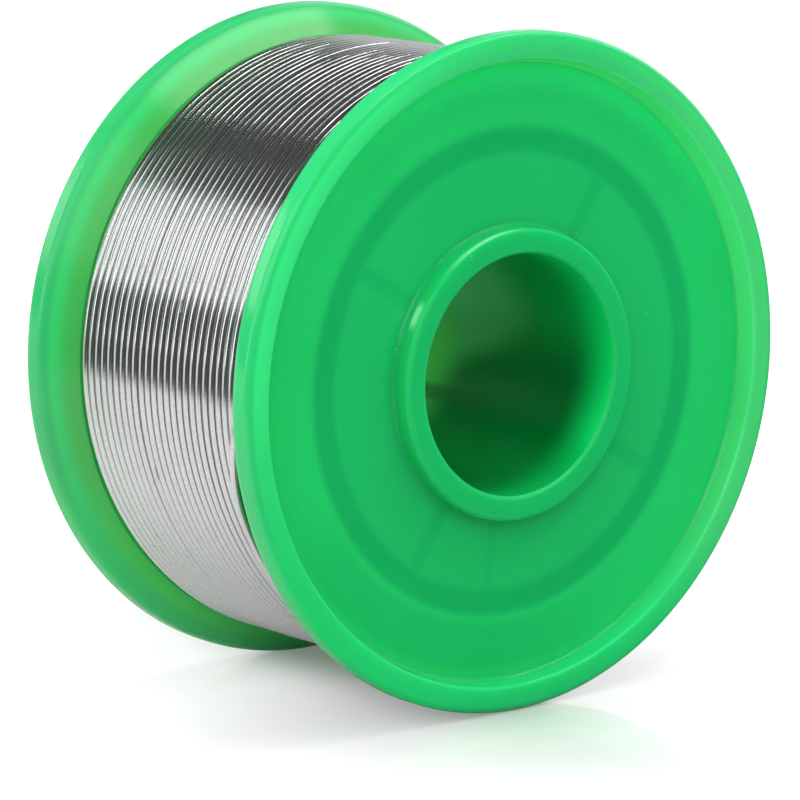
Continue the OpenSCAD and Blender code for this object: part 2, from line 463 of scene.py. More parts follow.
@dataclass(frozen=True)
class SpoolPlastic(Finish):
    """Glossy translucent moulded plastic, with light and shade painted into its colour for what lies behind
    each face and for how light falls on it.
    """

    side: Side
    # hollow, drum, wound and boss are painted light and shade on the web: darker over the hollow, the drum,
    # the ribs, the wire's start and the bore tube behind it, and lighter over the wound wire, for light that
    # shows through the plastic.
    hollow: Rgb = (0.013, 0.575, 0.160)
    drum: Rgb = (0.006, 0.500, 0.138)
    wound: Rgb = (0.016, 0.670, 0.168)
    # rim and rim_low are lit and shaded copies: painted light, lighter on the rim's upper part and darker at
    # its bottom.
    rim: Rgb = (0.042, 0.730, 0.230)
    rim_low: Rgb = (0.018, 0.650, 0.195)
    boss: Rgb = (0.010, 0.530, 0.152)
    # wire_side and wire_low are painted shade and reflection on the inner face next to the winding: olive and
    # darker, lighter towards the bottom.
    wire_side: Rgb = (0.060, 0.500, 0.100)
    wire_low: Rgb = (0.055, 0.700, 0.125)
    # wall is a painted glow on the rim's inner wall, strongest towards the top, for light that shines through
    # the flange.
    wall: Rgb = (0.105, 0.880, 0.310)
    # A pale painted sheen along the rim's outer edge on the right.
    painted_sheen: Rgb = (0.260, 0.720, 0.420)
    # A pale painted highlight on the corner of the boss, with a spot on its wall.
    painted_glint: Rgb = (0.420, 1.000, 0.620)
    dust: Rgb = (0.30, 0.80, 0.45)
    # rim_zones and rim_edge are painted light and shade on the rim by side, and a darker outer rounding.
    rim_zones: tuple[Zone, ...] = (
        Zone((0.048, 0.640, 0.220), z=(14.0, 25.0)),
        Zone((0.072, 0.670, 0.215), x=(6.0, 21.0), z=(-26.0, -12.0)),
        Zone((0.048, 0.800, 0.265), x=(-4.0, -18.0), z=(-6.0, 6.0)),
    )
    rim_edge: Zone = Zone((0.030, 0.560, 0.190), z=(-17.0, -6.0), radius=(26.7, 27.2))
    # web_zones are painted light and shade on the web: lighter near the rim at the top, darker at the lower
    # left.
    web_zones: tuple[Zone, ...] = (
        Zone((0.022, 0.870, 0.240), z=(4.0, 22.0), radius=(22.0, 24.6)),
        Zone((0.011, 0.575, 0.152), x=(18.0, -2.0), z=(-6.0, -17.0), radius=(19.8, 20.8), fade=(24.7, 23.7)),
    )
    rim_rise: Span = (-18.0, 4.0)
    wire_rise: Span = (-4.0, -22.0)
    wire_near: Span = (24.0, 24.8)
    rim_out: Span = (24.6, 25.2)
    rim_in: Span = (25.7, 26.6)
    wall_r: Span = (24.95, 25.4)
    wall_rise: Span = (-18.0, 16.0)
    fringe_r: Span = (27.05, 27.35)
    fringe_x: Span = (-6.0, 12.0)
    drum_r: Span = (17.75, 19.65)
    rib_half: float = 0.6
    tube_r: float = 11.9
    web_face: float = 12.3
    rough: float = 0.075

    @property
    def name(self) -> str:
        """The material's name."""
        return "spool_plastic_" + self.side.name.lower()

    def shader(self, g: NodeGraph) -> Value:
        """Build the plastic's shader.

        Args:
            g: The material's graph.

        Returns:
            The shader.
        """
        s = Spot.read(g.place(), self.side)
        haze, fine = s.point.noise(120.0, 4.0), s.point.noise(1400.0)
        rough = haze * 0.07 + fine * 0.04 + self.scratches(s) * 0.06
        finish = {
            "Base Color": self.colour(s),
            "Roughness": rough + self.wear(s) + self.rough,
            "IOR": 1.5,
            "Subsurface Weight": 0.85,
            "Subsurface Radius": (0.35, 1.0, 0.45),
            "Subsurface Scale": 0.0032,
            "Normal": self.bumps(s),
        }
        return g.get("BsdfPrincipled", finish, subsurface_method="RANDOM_WALK")

    def colour(self, s: Spot) -> Value:
        """Colour by place, with painted light and shade in it.

        Args:
            s: Where on the spool.

        Returns:
            The colour.
        """
        outer = s.out.rise(self.web_face - 0.4, self.web_face + 0.2)
        inside = s.out.rise(self.web_face + 0.5, self.web_face - 0.3)
        # Painted light and shade: darker over the hollow, lighter over the wound wire, darker over the drum,
        # the ribs, the wire's start and the boss.
        tone = s.radius.rise(self.drum_r[1] - 0.4, self.drum_r[1] + 0.9).tint(self.hollow, self.wound)
        tone = (self.shade_behind(s) * outer).tint(tone, self.drum)
        tone = (s.radius.rise(self.tube_r + 0.5, self.tube_r - 0.4) * outer).tint(tone, self.boss)
        # Painted shade and reflection of the winding on the inner face near it.
        near_wire = s.z.rise(*self.wire_rise).tint(self.wire_side, self.wire_low)
        tone = (inside * s.radius.rise(*self.wire_near)).tint(tone, near_wire)
        tone = self.rim_tone(s, inside, tone)
        cloud = s.point.noise(70.0, 3.0).rise(0.3, 0.7)
        mottled = s.point.g.get("HueSaturation", {"Value": cloud * 0.05 + 0.975, "Color": tone})
        # Painted highlight on the corner of the boss and a spot on its wall.
        glinted = self.painted_glints(s).tint(mottled, self.painted_glint)
        return (self.specks(s) * 0.3).tint(glinted, self.dust)

    def rim_tone(self, s: Spot, inside: Value, tone: Value) -> Value:
        """Lay the rim's colours, with their painted light and shade, over a flange's colour.

        Args:
            s: Where on the spool.
            inside: 1 on the faces towards the wire, 0 on the others.
            tone: The colour under it.

        Returns:
            The colour.
        """
        # Painted light on the rim: darker at the bottom, lighter at the top, then its zones by side.
        rim = s.z.rise(*self.rim_rise).tint(self.rim_low, self.rim)
        for zone in (*self.rim_zones, self.rim_edge):
            rim = zone.lay(s, rim)
        # Painted light and shade on the web by side.
        for zone in self.web_zones:
            tone = zone.lay(s, tone)
        outside = inside.rest()
        outer, inner = s.radius.rise(*self.rim_out) * outside, s.radius.rise(*self.rim_in) * inside
        tone = outer.math("ADD", inner, clamp=True).tint(tone, rim)
        # Painted glow on the rim's inner wall, strongest towards the top.
        wall = s.radius.band(*self.wall_r, 0.35) * s.z.rise(*self.wall_rise) * outside
        # Painted sheen along the rim's outer edge on the right.
        painted_sheen = s.radius.rise(*self.fringe_r) * s.x.rise(*self.fringe_x) * 0.55
        return painted_sheen.tint(wall.tint(tone, self.wall), self.painted_sheen)

    def shade_behind(self, s: Spot) -> Value:
        """How much painted shade a face gets from the drum, a rib or the wire's start that lies behind it.

        Args:
            s: Where on the spool.

        Returns:
            0 where nothing does, up to 1 over the drum.
        """
        ring = s.radius.band(*self.drum_r, 0.8)
        hub = s.radius.band(self.tube_r, self.drum_r[0], 0.6)
        rib = (s.off_rib() * (s.radius * 0.5)).rise(self.rib_half + 0.5, self.rib_half - 0.3) * hub
        off_wire = abs((s.angle - START_ANGLE) * math.radians(1.0) * s.radius)
        wire = off_wire.rise(0.65, 0.25) * hub
        return ring.most((rib * 0.55).most(wire * 0.35))

    def painted_glints(self, s: Spot) -> Value:
        """Where a pale highlight is painted on the corner of the boss, with a spot on its wall.

        Args:
            s: Where on the spool.

        Returns:
            0 where it isn't, up to 1.
        """
        corner = s.radius.band(11.69, 11.96, 0.1) * s.out.rise(14.35, 14.55)
        wall = s.radius.band(11.8, 12.0, 0.06) * s.out.band(13.85, 14.55, 0.2)
        long, short = s.angle.band(6.0, 34.0, 24.0) * 0.42, s.angle.band(56.0, 65.0, 5.0) * 0.6
        return (corner * long).most(wall * short)

    def wear(self, s: Spot) -> Value:
        """How much rougher than the rest the corners of the boss are.

        Args:
            s: Where on the spool.

        Returns:
            Roughness to add, below zero on the well polished part.
        """
        corner = s.radius.band(11.3, 12.1, 0.2) * s.out.rise(13.7, 14.1)
        dull, polished = s.angle.rise(44.0, 60.0) * corner, s.angle.band(-14.0, 36.0, 12.0) * corner
        mouth = s.radius.rise(10.15, 10.05)
        return dull * 0.34 + polished * -0.07 + mouth * 0.30

    def specks(self, s: Spot) -> Value:
        """Where tiny pale dust specks lie on the surface."""
        cells = s.point.g.get("TexVoronoi", {"Vector": s.point, "Scale": 900.0}, "Distance")
        return cells.rise(0.10, 0.05) * s.point.noise(310.0, 0.0).rise(0.66, 0.74)

    def scratches(self, s: Spot) -> Value:
        """Where fine handling scratches run."""
        lines = s.point.scaled((900.0, 940.0, 360.0)).noise(1.0, 1.0)
        return lines.band(0.495, 0.505, 0.01) * s.point.noise(160.0, 1.0).rise(0.55, 0.68)

    def bumps(self, s: Spot) -> Value:
        """The slightly uneven moulded surface, with dust and scratches, as a normal."""
        waves = s.point.noise(260.0) + s.point.noise(2200.0, 1.0) * 0.06
        return (waves + self.specks(s) * 0.4 + self.scratches(s) * -0.008).uneven(0.35, 0.00003)


@dataclass(frozen=True)
class BorePlastic(Finish):
    """The same plastic inside the bore, left dull by the core pin it was moulded on, with light and shade
    painted into its colour.
    """

    name: str = "spool_plastic_bore"
    # These colours are painted light and shade inside the bore: near is the lit mouth, middle the dark wall,
    # upper and lower lighter parts of it, haze and haze_top a pale glow of light, deep the glow at the far
    # end, and rib the shadows of the ribs.
    near: Rgb = (0.004, 0.78, 0.160)
    middle: Rgb = (0.000, 0.155, 0.024)
    upper: Rgb = (0.002, 0.40, 0.075)
    lower: Rgb = (0.003, 0.240, 0.046)
    haze: Rgb = (0.048, 0.36, 0.100)
    haze_top: Rgb = (0.090, 0.60, 0.210)
    deep: Rgb = (0.050, 0.46, 0.065)
    rib: Rgb = (0.000, 0.13, 0.020)
    upper_angle: Span = (-105.0, -65.0)
    lower_z: Span = (-6.0, -9.5)
    shaded_z: Span = (-5.0, -9.0)
    near_y: Span = (-9.6, -15.2)
    haze_slope: float = 2.2
    haze_from: Span = (-104.0, -84.0)
    haze_y: Span = (-7.0, 0.0)
    haze_angle: Span = (-90.0, -64.0)
    deep_y: Span = (3.0, 8.5)
    rib_edge: Span = (0.22, 0.06)
    rib_y: Span = (-4.0, 4.0)
    rib_stop: Span = (RIB_END + 0.6, RIB_END - 0.6)
    drawn: Triple = (900.0, 60.0, 900.0)

    def shader(self, g: NodeGraph) -> Value:
        """Build the bore's shader.

        Args:
            g: The material's graph.

        Returns:
            The shader.
        """
        s = Spot.read(g.place(), Side.REAR)
        drawn = s.point.scaled(self.drawn).noise(1.0, 3.0, 0.6)
        finish = {
            "Base Color": self.colour(s),
            "Roughness": drawn * 0.15 + 0.26,
            "IOR": 1.1,
            "Subsurface Weight": 0.5,
            "Subsurface Radius": (0.35, 1.0, 0.45),
            "Subsurface Scale": 0.001,
            "Normal": drawn.uneven(0.25, 0.00002),
        }
        return g.get("BsdfPrincipled", finish)

    def colour(self, s: Spot) -> Value:
        """Colour by place, all of it painted light and shade.

        Args:
            s: Where on the spool.

        Returns:
            The colour.
        """
        # Painted light and shade: a lit mouth, a dark middle, a pale glow of light, a glow at the far end and
        # the shadows of the ribs.
        tone = s.angle.rise(*self.upper_angle).tint(self.middle, self.upper)
        tone = s.z.rise(*self.lower_z).tint(tone, self.lower)
        bright = (s.z.rise(*self.shaded_z) * 0.62).rest()
        tone = (s.out.rise(*self.near_y) * bright).tint(tone, self.near)
        haze = (s.angle + s.out * self.haze_slope).rise(*self.haze_from) * s.out.rise(*self.haze_y)
        pale = s.angle.rise(*self.haze_angle).tint(self.haze, self.haze_top)
        tone = s.out.rise(*self.deep_y).tint(haze.tint(tone, pale), self.deep)
        rib = s.off_rib().rise(*self.rib_edge) * s.out.rise(*self.rib_stop) * s.out.rise(*self.rib_y)
        return (rib * 0.7).tint(tone, self.rib)


@dataclass(frozen=True)
class SolderMetal(Finish):
    """Bright drawn solder, with die lines along the wire, small nicks, and painted shade on each wire's
    underside.
    """

    name: str = "solder_bright"
    bright: Rgb = (0.86, 0.855, 0.86)
    dull: Rgb = (0.62, 0.61, 0.61)
    # Painted shade: the next colour is laid on each wire's underside, in the grooves between turns.
    groove_shade_tone: Rgb = (0.30, 0.29, 0.28)
    nick: Rgb = (0.25, 0.25, 0.26)
    rough: float = 0.07
    drawn: Triple = (60.0, 26.0, 7.3)
    streak: Triple = (14.0, 9.0, 3.1)
    rubbed: Triple = (700.0, 2600.0, 700.0)
    # How far the painted shade reaches round each wire from its underside.
    groove: Span = (0.13, 0.21)

    def shader(self, g: NodeGraph) -> Value:
        """Build the metal's shader.

        Args:
            g: The material's graph.

        Returns:
            A shader that reads the wire_lay attribute: length along the wire in metres,
            share of the way round it, and number of the turn.
        """
        lay = g.get("Attribute", output="Vector", attribute_name="wire_lay")
        point = g.place()
        drawn = lay.scaled(self.drawn).noise(1.0, 3.0, 0.6)
        streak = lay.scaled(self.streak).noise(1.0)
        speckle = point.noise(4200.0, 3.0, 0.6).rise(0.35, 0.68)
        oxide = point.noise(130.0, 4.0, 0.6).rise(0.42, 0.74)
        # Painted shade on each wire's underside, where it lies in the grooves between turns.
        groove_shade = abs(lay.split()[1] - 0.5).rise(*self.groove)
        rubbed = point.scaled(self.rubbed).noise(1.0, 1.0).rise(0.62, 0.68)
        nicks = rubbed * point.noise(240.0, 1.0).rise(0.66, 0.72)
        tone: Rgb | Value = self.bright
        for cover in (streak * 0.22, oxide * 0.25, speckle * 0.45):
            tone = cover.tint(tone, self.dull)
        tone = (nicks * 0.5).tint((groove_shade * 0.75).tint(tone, self.groove_shade_tone), self.nick)
        finish = {
            "Base Color": tone,
            "Metallic": 1.0,
            "Roughness": drawn * 0.05 + streak * 0.04 + oxide * 0.05 + nicks * 0.2 + self.rough,
            "Normal": (drawn + point.noise(9000.0) * 0.15 + nicks * -1.6).uneven(0.3, 0.00001),
        }
        return g.get("BsdfPrincipled", finish)


@dataclass(frozen=True)
class RosinFinish(Finish):
    """Amber rosin with a broken, resinous surface."""

    name: str = "rosin_flux"
    amber: Rgb = (0.62, 0.34, 0.09)
    pale: Rgb = (0.80, 0.58, 0.26)

    def shader(self, g: NodeGraph) -> Value:
        """Build the rosin's shader.

        Args:
            g: The material's graph.

        Returns:
            The shader.
        """
        point = g.place()
        chips = g.get("TexVoronoi", {"Vector": point, "Scale": 14000.0}, "Distance")
        finish = {
            "Base Color": point.noise(7000.0, 4.0, 0.6).tint(self.amber, self.pale),
            "Roughness": chips * 0.3 + 0.25,
            "Subsurface Weight": 0.3,
            "Subsurface Radius": (1.0, 0.5, 0.2),
            "Subsurface Scale": 0.0001,
            "Normal": chips.uneven(0.5, 0.00001),
        }
        return g.get("BsdfPrincipled", finish)


@dataclass
class FlangeShape:
    """Section of a flange: inner face, rounded rim and recessed web."""

    flange_r: float = 27.5
    half_w: float = 14.85
    rim_t: float = 2.55
    rim_w: float = 2.4
    rim_round: float = 0.6
    rim_back: float = 1.05
    rim_edge: float = 0.3
    rim_draft: float = 0.2
    flare_w: float = 1.45
    web_recess: float = 1.7
    web_t: float = 2.45
    web_fillet: float = 0.4
    rim_step: float = 0.3
    web_step: float = 0.22
    face_step: float = 0.8
    segments: int = 320

    @property
    def rim_low(self) -> float:
        """Distance of the rim's inner plane from the middle of the spool."""
        return self.half_w - self.rim_t

    @property
    def web_out(self) -> float:
        """Distance of the web's outer face from the middle of the spool."""
        return self.half_w - self.web_recess

    @property
    def web_in(self) -> float:
        """Distance of the web's inner face from the middle of the spool."""
        return self.web_out - self.web_t

    def outline(self) -> list[Point]:
        """Find the outline from the inner face round the rim to the fillet at the web.

        Returns:
            Its (radius, distance from the middle) points.
        """
        back, top, edge = self.rim_back, self.rim_round, self.rim_edge
        wall_r = self.flange_r - self.rim_w
        foot = (self.flange_r - back - self.flare_w, self.web_in)
        middle = (self.flange_r - back, self.rim_low + back)
        reach = math.dist(foot, middle)
        slope = math.atan2(middle[1] - foot[1], middle[0] - foot[0]) - math.asin(back / reach)
        under = arc(middle, back, math.degrees(slope) - 90, 0)
        over = arc((self.flange_r - top, self.half_w - top), top, 0, 90)
        inner = arc((wall_r + self.rim_draft + edge, self.half_w - edge), edge, 90, 180, 8)
        fillet = arc((wall_r - self.web_fillet, self.web_out + self.web_fillet), self.web_fillet, 0, -90, 8)
        return trace(foot, self.rim_step, under, over, self.rim_step, inner, fillet)


@dataclass
class FrontFlangeAndHub:
    """The front flange, moulded in one with the drum, its ribs and the bore tube."""

    shape: FlangeShape = field(default_factory=FlangeShape)
    bore_r: float = 9.8
    tube_wall: float = 2.1
    boss_round: float = 0.35
    boss_draft: float = 0.1
    bore_chamfer: float = 0.2
    drum_r: float = 19.8
    drum_wall: float = 2.0
    rib_count: int = 4
    rib_t: float = 1.2
    rib_bite: float = 0.5
    slot_w: float = 1.0
    slot_past: float = 1.0
    sink: float = 0.05
    ring_soft: float = 1.3
    rib_soft: float = 1.2
    rib_share: float = 0.8
    rib_fade: Span = (17.0, 18.5)
    sink_from: float = 0.3
    sink_to: float = 24.9
    end_step: float = 0.4
    wall_step: float = 1.5
    bore_step: float = 1.0

    @property
    def tube_r(self) -> float:
        """Outer radius of the bore tube."""
        return self.bore_r + self.tube_wall

    @property
    def drum_in(self) -> float:
        """Inner radius of the drum."""
        return self.drum_r - self.drum_wall

    def build(self) -> bpy.types.Object:
        """Build the moulding and dress it.

        Returns:
            The finished piece.
        """
        points, faces = revolve(self.outline(), self.shape.segments)
        piece = make_object("front_flange_and_hub_moulding", self.sunk(points), faces)
        for number in range(self.rib_count):
            carve(piece, self.rib(RIB_ANGLE + 360.0 * number / self.rib_count), Carving.JOIN)
        carve(piece, self.start_slot(), Carving.CUT)
        shade(piece.data)
        settle(piece, [SpoolPlastic(Side.FRONT), BorePlastic()], "front_flange_and_hub")
        for face in piece.data.polygons:
            middle = face.center / MM
            in_bore = math.hypot(middle.x, middle.z) < self.bore_r + 0.05
            face.material_index = int(in_bore and abs(middle.y) < self.shape.half_w - self.bore_chamfer)
        return piece

    def outline(self) -> list[Point]:
        """Find the closed outline of the hub and its flange.

        Returns:
            Its (radius, y) points, with the front at -y.
        """
        s = self.shape
        edge, foot, mouth = self.boss_round, s.web_fillet, self.bore_r + self.bore_chamfer
        outline = trace(
            (self.bore_r, self.bore_chamfer - s.half_w),
            (mouth, -s.half_w),
            self.end_step,
            arc((self.tube_r - edge, edge - s.half_w), edge, -90, 0, 10),
            self.wall_step,
            (self.tube_r, s.web_in),
            s.face_step,
            (self.drum_in, s.web_in),
            self.wall_step,
            (self.drum_in, -s.web_in),
            (self.drum_r, -s.web_in),
            self.wall_step,
            (self.drum_r, s.web_in),
            s.face_step,
            s.outline(),
            s.web_step,
            arc((self.tube_r + foot, s.web_out + foot), foot, -90, -180, 8),
            arc((self.tube_r - self.boss_draft - edge, s.half_w - edge), edge, 0, 90, 10),
            self.end_step,
            (mouth, s.half_w),
            (self.bore_r, s.half_w - self.bore_chamfer),
            self.bore_step,
        )
        return [(r, -z) for r, z in outline]

    def sunk(self, points: list[list[float]]) -> list[list[float]]:
        """Let the web's outer face sink a little over the drum and the ribs.

        Args:
            points: The moulding's vertices.

        Returns:
            The same vertices, with those of the web moved inwards.
        """
        half = self.drum_wall / 2.0
        for p in points:
            radius = math.hypot(p[0], p[2])
            off_web = abs(p[1] + self.shape.web_out) > 0.01
            if off_web or not self.tube_r + self.sink_from < radius < self.sink_to:
                continue
            turn = math.atan2(-p[0], p[2]) - math.radians(RIB_ANGLE)
            across = abs(math.sin(2.0 * turn)) * radius / 2.0
            ring = bump(self.drum_r - half, half, self.ring_soft, radius)
            rib = bump(0.0, self.rib_t / 2.0, self.rib_soft, across)
            rib *= 1.0 - smooth_step(*self.rib_fade, radius)
            p[1] += self.sink * max(ring, self.rib_share * rib)
        return points

    def rib(self, angle: float) -> bpy.types.Object:
        """A rib between the bore tube and the drum, run a little into both walls."""
        radii = (self.tube_r - self.rib_bite, self.drum_in + self.rib_bite)
        return self.block("rib", angle, self.rib_t, radii, (-self.shape.web_in - self.rib_bite, RIB_END))

    def start_slot(self) -> bpy.types.Object:
        """The cut through the drum where the wire starts."""
        radii, front = (self.drum_in - self.slot_past, self.drum_r + self.slot_past), -self.shape.web_in
        return self.block("slot", START_ANGLE, self.slot_w, radii, (front, self.slot_w + front))

    def block(self, name: str, angle: float, width: float, radii: Span, depth: Span) -> bpy.types.Object:
        """Build a block that stands radially.

        Args:
            name: The object's name.
            angle: Its angle round the axis.
            width: Its width across.
            radii: Its inner and outer radius.
            depth: Y of its front and rear.

        Returns:
            The block.
        """
        out, half = outward(angle), forward(angle) * (width / 2.0)
        points = [out * r + half * side + along_axis(y) for y in depth for r in radii for side in (-1, 1)]
        faces = [[0, 1, 3, 2], [4, 6, 7, 5], [0, 4, 5, 1], [2, 3, 7, 6], [0, 2, 6, 4], [1, 5, 7, 3]]
        return make_object(name, points, faces)


@dataclass
class RearFlange:
    """The rear flange, pressed over the bore tube and into the drum."""

    shape: FlangeShape = field(default_factory=FlangeShape)
    hole_r: float = 11.95
    ring_out: float = 17.7
    ring_t: float = 1.2
    ring_h: float = 2.5
    hole_edge: float = 0.15
    sink: float = 0.03
    # The rear flange's colours are painted light and shade as on the front, with its own rim colours and a
    # darker outer rounding.
    finish: SpoolPlastic = SpoolPlastic(
        Side.REAR,
        rim=(0.045, 0.61, 0.172),
        rim_low=(0.030, 0.62, 0.175),
        rim_zones=(),
        rim_edge=Zone((0.036, 0.48, 0.160), z=(-17.0, -6.0), radius=(26.7, 27.2)),
        web_zones=(),
        rough=0.145,
    )

    def build(self) -> bpy.types.Object:
        """Build the flange and dress it."""
        piece = make_object("rear_flange_moulding", *revolve(self.outline(), self.shape.segments))
        return settle(piece, [self.finish], "rear_flange")

    def outline(self) -> list[Point]:
        """Find the closed outline of the flange with its centring ring.

        Returns:
            Its (radius, y) points.
        """
        s = self.shape
        ring_in, ring_y = self.ring_out - self.ring_t, s.web_in - self.ring_h
        outline = trace(
            (self.hole_r, s.web_in),
            s.face_step,
            (ring_in, s.web_in),
            (ring_in, ring_y),
            (self.ring_out, ring_y),
            (self.ring_out, s.web_in),
            s.face_step,
            s.outline(),
            s.web_step,
            (self.hole_r + self.hole_edge, s.web_out),
            (self.hole_r, s.web_out - self.hole_edge),
        )
        return [(r, y - self.sunk(r) if y == s.web_out else y) for r, y in outline]

    def sunk(self, radius: float) -> float:
        """How far the web's outer face sinks over the centring ring."""
        half = self.ring_t / 2.0
        return self.sink * bump(self.ring_out - half, half, self.ring_t, radius)


@dataclass
class Strand:
    """A length of round wire along a path, whose surface keeps its lay."""

    name: str
    centres: list[Vector]
    radius: float
    sides: int
    turns: list[float] = field(default_factory=list)

    def mesh_object(self) -> bpy.types.Object:
        """Build the wire as a closed tube.

        Returns:
            The tube.
        """
        points: list[Vector] = []
        lay: list[float] = []
        length = 0.0
        for i, centre in enumerate(self.centres):
            length += (centre - self.centres[max(i - 1, 0)]).length
            points += self.ring(i, self.radius)
            for k in range(self.sides):
                lay += [length * MM, k / self.sides, self.turns[i] if self.turns else 0.0]
        last = (len(self.centres) - 1) * self.sides
        faces = loft(len(self.centres), self.sides, False)
        faces += [list(range(self.sides)), [last + k for k in range(self.sides)]]
        return self.laid(make_object(self.name, points, faces), lay)

    def ring(self, number: int, radius: float, inset: float = 0.0) -> list[Vector]:
        """Find the points round the wire, from its underside.

        Args:
            number: Which of its centres they go round.
            radius: The ring's radius.
            inset: How far the ring is moved along the wire.

        Returns:
            The points.
        """
        last = len(self.centres) - 1
        centre = self.centres[number]
        tangent = (self.centres[min(number + 1, last)] - self.centres[max(number - 1, 0)]).normalized()
        side = tangent.cross(Vector((centre.x, 0.0, centre.z)).normalized())
        if side.length < 0.1:
            side = tangent.cross(along_axis(1.0))
        side.normalize()
        up = side.cross(tangent)
        centre = centre + tangent * inset
        angles = [2.0 * math.pi * k / self.sides for k in range(self.sides)]
        return [centre - up * math.cos(a) * radius + side * math.sin(a) * radius for a in angles]

    def laid(self, piece: bpy.types.Object, lay: Sequence[float]) -> bpy.types.Object:
        """The piece, with the lay of its surface kept on its points."""
        piece.data.attributes.new("wire_lay", "FLOAT_VECTOR", "POINT").data.foreach_set("vector", lay)
        return piece


@dataclass
class HollowStrand(Strand):
    """A length of wire round its core, with slightly pinched cut ends."""

    core_r: float = 0.14
    pinch: float = 0.06
    pinch_long: float = 0.05
    lay_step: float = 0.0002
    lay_turn: float = 40.0

    def mesh_object(self) -> bpy.types.Object:
        """Build the wire with a hole for its core.

        Returns:
            The wire.
        """
        count = len(self.centres)
        last = count - 1
        outer = [(i, self.radius) for i in range(count)]
        inner = [(i, self.core_r) for i in range(last, -1, -1)]
        tip = self.radius - self.pinch
        rings = [(0, tip), *outer, (last, tip), *inner]
        points: list[Vector] = []
        lay: list[float] = []
        for number, (i, radius) in enumerate(rings):
            pinched = 0 < number < count + 1 and i in (0, last)
            inset = self.pinch_long * (1.0 if i == 0 else -1.0) if pinched else 0.0
            points += self.ring(i, radius, inset)
            for k in range(self.sides):
                lay += [i * self.lay_step, k / self.sides, self.lay_turn]
        return self.laid(make_object(self.name, points, loft(len(rings), self.sides, True)), lay)


